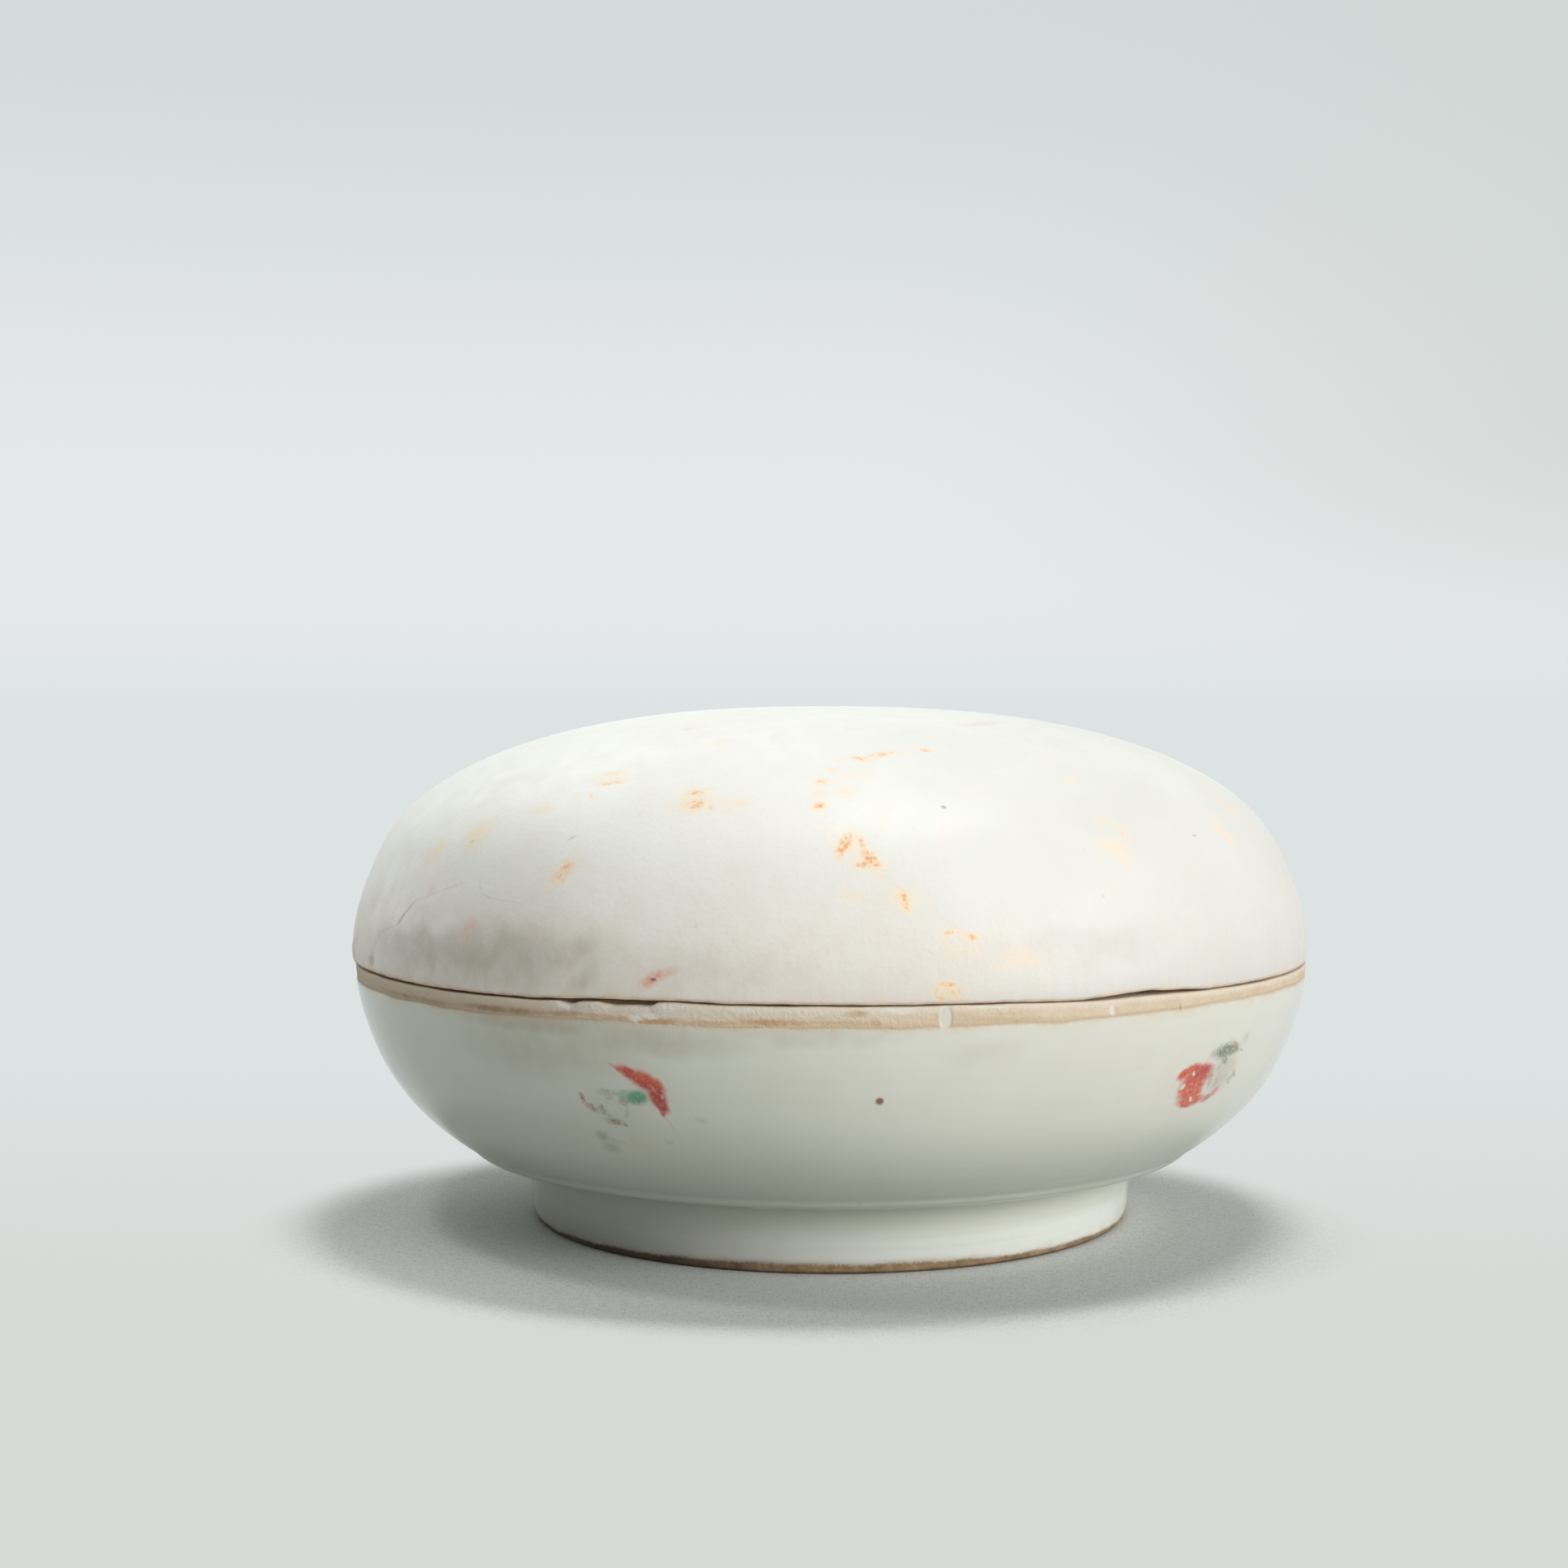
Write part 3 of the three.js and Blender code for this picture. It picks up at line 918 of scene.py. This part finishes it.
BOWL_OLIVE = dict(
    left_tip_speck=(752, 1311.5, 755, 1312.5, 3.5, 0.6), left_stem=(741, 1363, 744, 1371, 7, 0.75),
    left_stem_low=(744, 1372, 753, 1375, 5, 0.6), left_base=(749, 1380, 767, 1383, 8, 0.65),
    left_dot=(770, 1386, 771.5, 1386.5, 3.5, 0.9), left_upright=(772.5, 1366, 771.5, 1377, 5, 0.4),
    left_mottle=(740, 1345, 756, 1348, 9, 0.5), left_mottle_dark=(749, 1354, 753, 1352, 6, 0.5),
    left_mottle_right=(754, 1347, 757, 1348, 6, 0.5), left_leaf_shade=(766, 1356, 770, 1359, 9, 0.75),
    left_low=(740, 1399, 745, 1400, 10, 0.5), left_lower=(750, 1413, 758, 1414, 11, 0.35),
    left_link=(748, 1403, 768, 1408, 4, 0.25), left_haze=(742, 1362, 770, 1368, 36, 0.16),
    right_haze=(1497, 1337, 1516, 1305, 20, 0.22), left_far=(823, 1407, 827, 1408, 5, 0.25),
    middle_spot=(861, 1380, 868, 1381, 7, 0.3), right_line=(1494, 1321, 1489, 1338, 4, 0.6),
    right_line_low=(1500, 1328, 1496, 1338, 4, 0.5), right_edge=(1520, 1321, 1513, 1332, 4, 0.5),
    right_edge_dot=(1519.5, 1322, 1520.5, 1324, 4, 0.7),
    right_edge_low=(1511.5, 1331, 1513, 1333, 4, 0.6), right_vein=(1508, 1304, 1500, 1320, 5, 0.4),
    right_dot=(1529, 1293, 1530, 1293.5, 3, 0.6), right_far=(1533, 1281, 1537, 1276, 6, 0.3),
)
BOWL_GREY = dict(
    right_dark=(1505, 1296, 1518, 1293, 15), right_dark_top=(1508, 1291, 1514, 1288, 7, 0.8),
    right_dark_low=(1508, 1302, 1510, 1306, 9, 0.7), right_petal=(1494, 1338, 1514, 1308, 18, 0.16),
)
BOWL_YELLOW = dict(
    left_yellow=(778, 1403, 778.5, 1411, 5, 0.6), left_field=(784, 1407, 794, 1411, 16, 0.25),
    right_cream=(1519, 1308, 1521, 1317, 9, 0.55), right_cream_low=(1503, 1328, 1508, 1325, 9, 0.4),
)
BOWL_IRON = dict(
    iron_spot=(1083.5, 1357, 1084.5, 1357, 8.5),
)
# Darker patches on the glaze, partly stains; the patch under the band and the one on the left are painted
# shade.
BOWL_STAIN_AND_SHADE = dict(
    painted_shade_under_band=(560, 1250, 745, 1264, 34), left=(600, 1286, 740, 1296, 62, 0.6),
    chips=(700, 1276, 880, 1284, 36, 0.75), front=(880, 1274, 1080, 1276, 20, 0.42),
    right=(1186, 1298, 1244, 1294, 26, 0.25),
)
BAND_CHALK = dict(
    left=(664, 1239, 760, 1246, 15, 0.9), middle=(756, 1246, 900, 1250, 15, 0.95),
    front=(896, 1248, 1070, 1249, 12, 0.85), right=(1064, 1247, 1152, 1247, 10, 0.75),
)
BAND_WHITE = dict(
    lump_left=(685, 1235.5, 691, 1238, 5, 0.9), chip_face=(692, 1239, 702, 1241, 5, 0.8),
    lump=(779, 1254.5, 786, 1255, 8), lump_right=(796, 1251, 806, 1253, 8, 0.85),
    crumbs=(810, 1241, 836, 1241, 5, 0.8), patch=(905, 1245, 925, 1246, 6, 0.7),
    patch_right=(1094, 1245, 1121, 1247, 6, 0.85), edge_right=(1198, 1241, 1240, 1240, 4, 0.8),
    chip=(1369, 1242, 1371, 1248, 6), tab_crumb=(1160, 1262, 1164, 1264, 6, 0.7),
)
BAND_BROWN = dict(
    far_left_line=(462, 1222, 566, 1239, 6, 0.6), left_line=(566, 1240, 672, 1248, 8, 0.95),
    line=(676, 1248, 716, 1249, 7, 0.8), line_right=(716, 1250, 786, 1257, 6, 0.55),
    strong=(788, 1260, 830, 1259, 9), low_line=(832, 1261, 920, 1261, 6, 0.5),
    front_line=(916, 1260, 990, 1261, 8, 0.85), front_line_right=(990, 1261, 1080, 1262, 7, 0.45),
    spot=(1047, 1249, 1064, 1249, 8, 0.8), spot_low=(1076, 1260, 1084, 1263, 8, 0.6),
    right_line=(1180, 1258, 1310, 1255, 6, 0.35), dot=(1251.5, 1257, 1255.5, 1257, 4, 0.7),
    tick=(1453.5, 1239, 1454.5, 1250, 3, 0.9),
)
GLAZE_TAB = dict(
    tab=(1165.5, 1248, 1165.5, 1260, 16),
)


def bowl_base(surface, place, height):
    """Warm white above and greener below, with turning lines and a few specks, and painted light that makes
    the right side, and the foot's right most of all, lighter than the left.
    """
    cloud = noise(place, 0.07, 3)
    mottle = noise(place, 0.45, 4)
    rings = noise(stretched(place, (0.03, 0.03, 1.6)), 1, 4)
    painted_light_side = ramp(parts_of(place)["X"], -20, 16)
    # Painted light: the glaze is given a lighter colour on the right, where the light falls, than on the
    # left.
    aged = mix(painted_light_side, srgb(209, 211, 197), srgb(215, 215, 203))
    fresh = mix(painted_light_side, srgb(213, 215, 202), srgb(219, 219, 208))
    upper = mix(ramp(cloud, 0.3, 0.7), aged, fresh)
    lower = mix(painted_light_side, srgb(208, 213, 197), srgb(218, 221, 207))
    paint = Paint(surface, mix(ramp(height, 19, 7), upper, lower))
    # The foot's glaze turns whiter towards its bottom, and painted light makes its right much lighter than
    # its left.
    foot = mix(painted_light_side, srgb(221, 223, 213), srgb(237, 239, 230))
    paint.wash(ramp(height, 4.5, 2.6), foot)
    paint.wash(ramp(rings, 0.45, 0.75, 0, 0.16), srgb(205, 206, 189))
    paint.wash(ramp(mottle, 0.5, 0.75, 0, 0.12), srgb(203, 202, 183))
    specks = cells(place, 0.13)
    paint.wash(ramp(specks, 0.04, 0.015, 0, 0.25), srgb(150, 144, 126))
    return paint


def paint_enamel(paint, place):
    """The worn flower sprays painted over the glaze, and an iron spot in it."""
    ragged = jittered(place, 3.4, 0.13)
    wear = ramp(noise(place, 4, 4, 0.65), 0.34, 0.6, 0.45, 1.1)
    deep = noise(place, 1, 3)

    def worn(strokes, soft, ink, share):
        paint.wash(times(paint.marks(ragged, strokes, soft), wear), ink, share)

    worn(BOWL_YELLOW, 0.8, srgb(222, 192, 146), 0.6)
    worn(BOWL_PINK, 0.7, srgb(222, 162, 148), 0.7)
    worn(BOWL_GREY, 0.6, srgb(116, 124, 108), 0.95)
    worn(BOWL_OLIVE, 0.7, srgb(124, 119, 80), 0.8)
    worn(BOWL_BROWN, 0.6, srgb(150, 96, 76), 0.8)
    green = paint.marks(ragged, BOWL_GREEN, 0.5)
    paint.wash(green, srgb(92, 156, 120), ramp(wear, 0.4, 1, 0.8, 1))
    gaps = paint.marks(ragged, BOWL_RED_GAPS, 0.5)
    red = paint.marks(ragged, BOWL_RED, 0.42)
    red = times(red, ramp(gaps, 0.1, 0.9, 1, 0.1))
    red = times(red, ramp(wear, 0.4, 0.9, 0.8, 1))
    crimson = paint.marks(ragged, BOWL_CRIMSON, 0.6)
    crimson = most(crimson, ramp(deep, 0.45, 0.65, 0, 0.55))
    paint.wash(red, mix(crimson, srgb(204, 90, 58), srgb(174, 62, 58)))
    iron = paint.marks(jittered(place, 1.2, 0.05), BOWL_IRON, 0.5)
    paint.wash(iron, srgb(128, 84, 50), 0.95)


def band_colour(surface, place, chalk, bare):
    """Bare clay, tan with chalky and rusty stretches."""
    ragged = jittered(place, 2.4, 0.18)
    tan = mix(ramp(chalk, 0.3, 0.7), srgb(208, 187, 157), srgb(217, 201, 177))
    paint = Paint(surface, tan)
    paint.wash(paint.marks(ragged, BAND_CHALK, 0.6), srgb(215, 206, 193), 0.9)
    paint.wash(ramp(bare, 0.9, 1.5, 0, 0.65), srgb(229, 219, 204))
    # Darker towards the left, and the rust there darker too.
    leftward_share = ramp(parts_of(place)["X"], -12, -36)
    paint.wash(leftward_share, srgb(180, 167, 145), 0.5)
    rust = paint.marks(ragged, BAND_BROWN, 0.6)
    line = ramp(compute("ABSOLUTE", add(bare, -0.1)), 0.4, 0.05, 0, 0.45)
    rust = times(most(rust, line), ramp(chalk, 0.32, 0.62, 0.4, 1))
    paint.wash(rust, mix(leftward_share, srgb(178, 134, 86), srgb(126, 100, 74)), 0.85)
    paint.wash(paint.marks(ragged, BAND_WHITE, 0.5), srgb(229, 225, 217), 0.8)
    return paint.colour


def foot_colour(place, chalk):
    """Bare brown clay, with painted shade that darkens it towards the left and a painted contact shadow
    where it meets the table.
    """
    parts = parts_of(place)
    colour = mix(ramp(chalk, 0.35, 0.65), srgb(140, 115, 84), srgb(176, 150, 116))
    # Painted shade towards the left, and a painted contact shadow along the bottom edge.
    colour = mix(ramp(parts["X"], 0, -16, 0, 0.85), colour, srgb(76, 60, 44))
    return mix(ramp(parts["Z"], 0.34, 0.08, 0, 0.75), colour, srgb(70, 58, 44))


def bowl_material(surface):
    material, tree, place = new_material("bowl_glaze")
    height = parts_of(place)["Z"]
    ripple = noise(place, 0.2, 2)
    grain = noise(place, 2.6, 5, 0.65)
    chalk = noise(place, 0.6, 5, 0.6)
    paint = bowl_base(surface, place, height)
    # Stains, and painted shade under the band and on the left.
    darkening = paint.marks(jittered(place, 0.4, 0.8), BOWL_STAIN_AND_SHADE, 0.8)
    paint.wash(darkening, srgb(172, 168, 150), ramp(chalk, 0.3, 0.7, 0.5, 0.8))
    paint_enamel(paint, place)

    bare = add(bare_depth(tree), times(add(grain, -0.5), 0.35))
    tab = paint.marks(jittered(place, 1.6, 0.15), GLAZE_TAB, 0.35)
    clay = times(ramp(bare, -0.2, 0.2), ramp(tab, 0, 1, 1, 0.15))
    stain = ramp(bare, -1, 0.1, 0, 0.4)
    paint.wash(stain, srgb(214, 192, 154), ramp(chalk, 0.35, 0.65))
    above_foot = ramp(height, 3, 6)
    foot = foot_colour(place, chalk)
    band = band_colour(surface, place, chalk, bare)
    paint.wash(clay, mix(above_foot, foot, band))

    rough = ramp(ripple, 0.3, 0.7, 0.12, 0.2)
    rough = most(rough, times(clay, 0.9))
    gloss_relief = bump(ripple, 0.0005, 0.1)
    relief = bump(times(add(grain, chalk), clay), 0.0002, 0.6, Normal=gloss_relief)
    finish_material(tree, Base_Color=paint.colour, Roughness=rough, Normal=relief, IOR=1.5)
    return material


# Stage and light, with lengths in metres

BACKDROP = srgb(230, 233, 234)
BACKDROP_FOOT = srgb(221, 227, 227)
BACKDROP_TOP = srgb(211, 217, 217)
BACKDROP_RIGHT = srgb(207, 213, 210)
FLOOR_COLOUR = srgb(225, 228, 226)
FLOOR_THREAD = srgb(192, 196, 195)
FLOOR_FAR = srgb(221, 227, 227)
FLOOR_FRONT = srgb(215, 218, 215)
FLOOR_BOUNCE = srgb(160, 161, 160)
FLOOR_RADIUS = 2.5
FLOOR_SIDES = 96
FADE = (0.042, 0.053)
FADE_CENTRE = (-0.002, -0.008)
FADE_STRETCH = 1.2
FRONT = (0.1, -0.06)
FRONT_END = (0.15, 0.6)
PAPER_EDGE = (0.11, 0.17)

# Parts of a direction, up or to the right, between which the backdrop's colours change
BACKDROP_LOW = (-0.01, 0.06)
BACKDROP_HIGH = (0.07, 0.31)
BACKDROP_SIDE = (0, 0.4)
BACKDROP_SIDE_UP = (0, 0.12)

# Soft patches of light in the room: azimuth from straight behind, elevation, reach, level
Patch = namedtuple("Patch", "azimuth elevation reach level")
PLAIN_LIGHT = (1, 1, 1, 1)
COOL_LIGHT = (0.965, 1, 0.985, 1)
ROOM = {
    PLAIN_LIGHT: {
        "key": Patch(120, 22, 24, 4),
        "key front": Patch(140, 22, 24, 2.75),
        "key low": Patch(122, 4, 24, 4.7),
        "back right": Patch(60, 22, 24, 0.5),
    },
    COOL_LIGHT: {
        "behind": Patch(0, 44, 34, 1.05),
        "left high": Patch(320, 44, 34, 1.35),
        "left": Patch(320, 22, 24, 1),
        "left low": Patch(300, 2, 22, 1.6),
        "front floor": Patch(200, -14, 24, 6.2),
    },
}

# Lamps over the box: place, size and power, aimed at its middle
Lamp = namedtuple("Lamp", "place size power")
LAMP_AIM = (0, 0, 0.02)
LAMPS = {
    "overhead": Lamp((0.085, -0.015, 0.6), (0.1, 0.15), 1.27),
    "overhead_left": Lamp((-0.2, -0.15, 0.6), (0.08, 0.08), 0.46),
}


def looked_at(tree):
    """Whether a ray comes from the camera or from a reflection."""
    path = node(tree, "LightPath").outputs
    return path["Is Camera Ray"], most(path["Is Camera Ray"], path["Is Glossy Ray"])


def floor_material():
    """Woven paper cloth that keeps the shadow and fades to the backdrop; from below it isn't seen."""
    material, tree, place = new_material("floor_cloth")
    distance = measure("LENGTH", stretched(place, (MM, MM, 0)))
    side = times(parts_of(place)["Y"], MM)
    warp = noise(stretched(place, (5, 1.2, 1)), 1, 2)
    weft = noise(stretched(place, (1.2, 5, 1)), 1, 2)
    threads = ramp(most(warp, weft), 0.46, 0.72, 0, 0.65)
    colour = mix(threads, FLOOR_COLOUR, FLOOR_THREAD)
    _, looked = looked_at(tree)
    colour = mix(looked, FLOOR_BOUNCE, colour)
    cloth = node(tree, "BsdfDiffuse", Color=colour).outputs[0]
    clear = node(tree, "BsdfTransparent").outputs[0]
    front = times(ramp(side, *FRONT), ramp(distance, *FRONT_END, 1, 0))
    far_colour = mix(front, FLOOR_FAR, FLOOR_FRONT)
    far = node(tree, "Emission", Color=far_colour).outputs[0]
    lit = blend(ramp(distance, *PAPER_EDGE), cloth, clear)
    offset = combine("SUBTRACT", stretched(place, (MM, MM, 0)), (*FADE_CENTRE, 0))
    oval = measure("LENGTH", stretched(offset, (1, FADE_STRETCH, 1)))
    seen = blend(ramp(oval, *FADE), cloth, far)
    back = node(tree, "NewGeometry").outputs["Backfacing"]
    seen = blend(back, seen, clear)
    put(node(tree, "OutputMaterial").inputs["Surface"], blend(looked, lit, seen))
    return material


def make_floor():
    mesh = bpy.data.meshes.new("floor")
    rim = [(FLOOR_RADIUS * math.cos(a), FLOOR_RADIUS * math.sin(a), 0)
           for a in np.linspace(0, 2 * math.pi, FLOOR_SIDES, endpoint=False)]
    mesh.from_pydata(rim, [], [tuple(range(len(rim)))])
    mesh.materials.append(floor_material())
    floor = add_object("floor", mesh)


def light_level(way, patches):
    """How bright some patches of light are in a direction."""
    level = 0
    for patch in patches.values():
        azimuth, elevation = math.radians(patch.azimuth), math.radians(patch.elevation)
        flat = math.cos(elevation)
        axis = (flat * math.sin(azimuth), flat * math.cos(azimuth), math.sin(elevation))
        near = measure("DOT_PRODUCT", way, axis)
        edge = math.cos(math.radians(patch.reach))
        level = add(level, ramp(near, edge, 1, 0, patch.level))
    return level


def make_world():
    """A pale backdrop for the camera and for reflections, and soft patches of light."""
    world = bpy.data.worlds.new("room")
    world.use_nodes = True
    tree = world.node_tree
    tree.nodes.clear()
    way = node(tree, "TexCoord").outputs["Generated"]
    parts = parts_of(way)
    colour = mix(ramp(parts["Z"], *BACKDROP_LOW), BACKDROP_FOOT, BACKDROP)
    colour = mix(ramp(parts["Z"], *BACKDROP_HIGH), colour, BACKDROP_TOP)
    right = times(ramp(parts["X"], *BACKDROP_SIDE, 0, 0.8), ramp(parts["Z"], *BACKDROP_SIDE_UP))
    colour = mix(right, colour, BACKDROP_RIGHT)
    camera, looked = looked_at(tree)
    shown = node(tree, "Background", Color=colour, Strength=looked).outputs[0]
    unseen = compute("SUBTRACT", 1, camera)
    for tint, patches in ROOM.items():
        level = times(light_level(way, patches), unseen)
        light = node(tree, "Background", Color=tint, Strength=level).outputs[0]
        shown = join("AddShader", {}, shown, light)[0]
    put(node(tree, "OutputWorld").inputs["Surface"], shown)
    bpy.context.scene.world = world


def make_lamps():
    for name, given in LAMPS.items():
        lamp = add_object(name, bpy.data.lights.new(name, "AREA"))
        lamp.data.shape = "RECTANGLE"
        lamp.data.size, lamp.data.size_y = given.size
        lamp.data.energy = given.power
        lamp.location = given.place
        aim = Vector(LAMP_AIM) - lamp.location
        lamp.rotation_euler = aim.to_track_quat("-Z", "Y").to_euler()


# Putting it together

def build_bowl():
    pen = bowl_profile()
    turned = turn(pen)
    shaped = turned._replace(points=shaped_bowl(turned))
    piece = make_piece("glazed_bowl", shaped)
    lay_out(piece.data, turned, pen.split, OUTSIDE_DISC, INSIDE_DISC)
    piece.data.materials.append(bowl_material(Surface(shaped)))
    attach(piece, "base")
    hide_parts("base_bowl")


def build_lid():
    pen = lid_profile()
    turned = turn(pen)
    shaped = turned._replace(points=shaped_lid(turned, Surface(turned)))
    piece = make_piece("worn_lid", shaped)
    lay_out(piece.data, turned, pen.split, INSIDE_DISC, OUTSIDE_DISC)
    piece.data.materials.append(lid_material(Surface(shaped)))
    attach(piece, "lid")
    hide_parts("domed_lid")


make_camera()
build_bowl()
build_lid()
make_floor()
make_world()
make_lamps()
bpy.context.scene.view_settings.view_transform = "Standard"
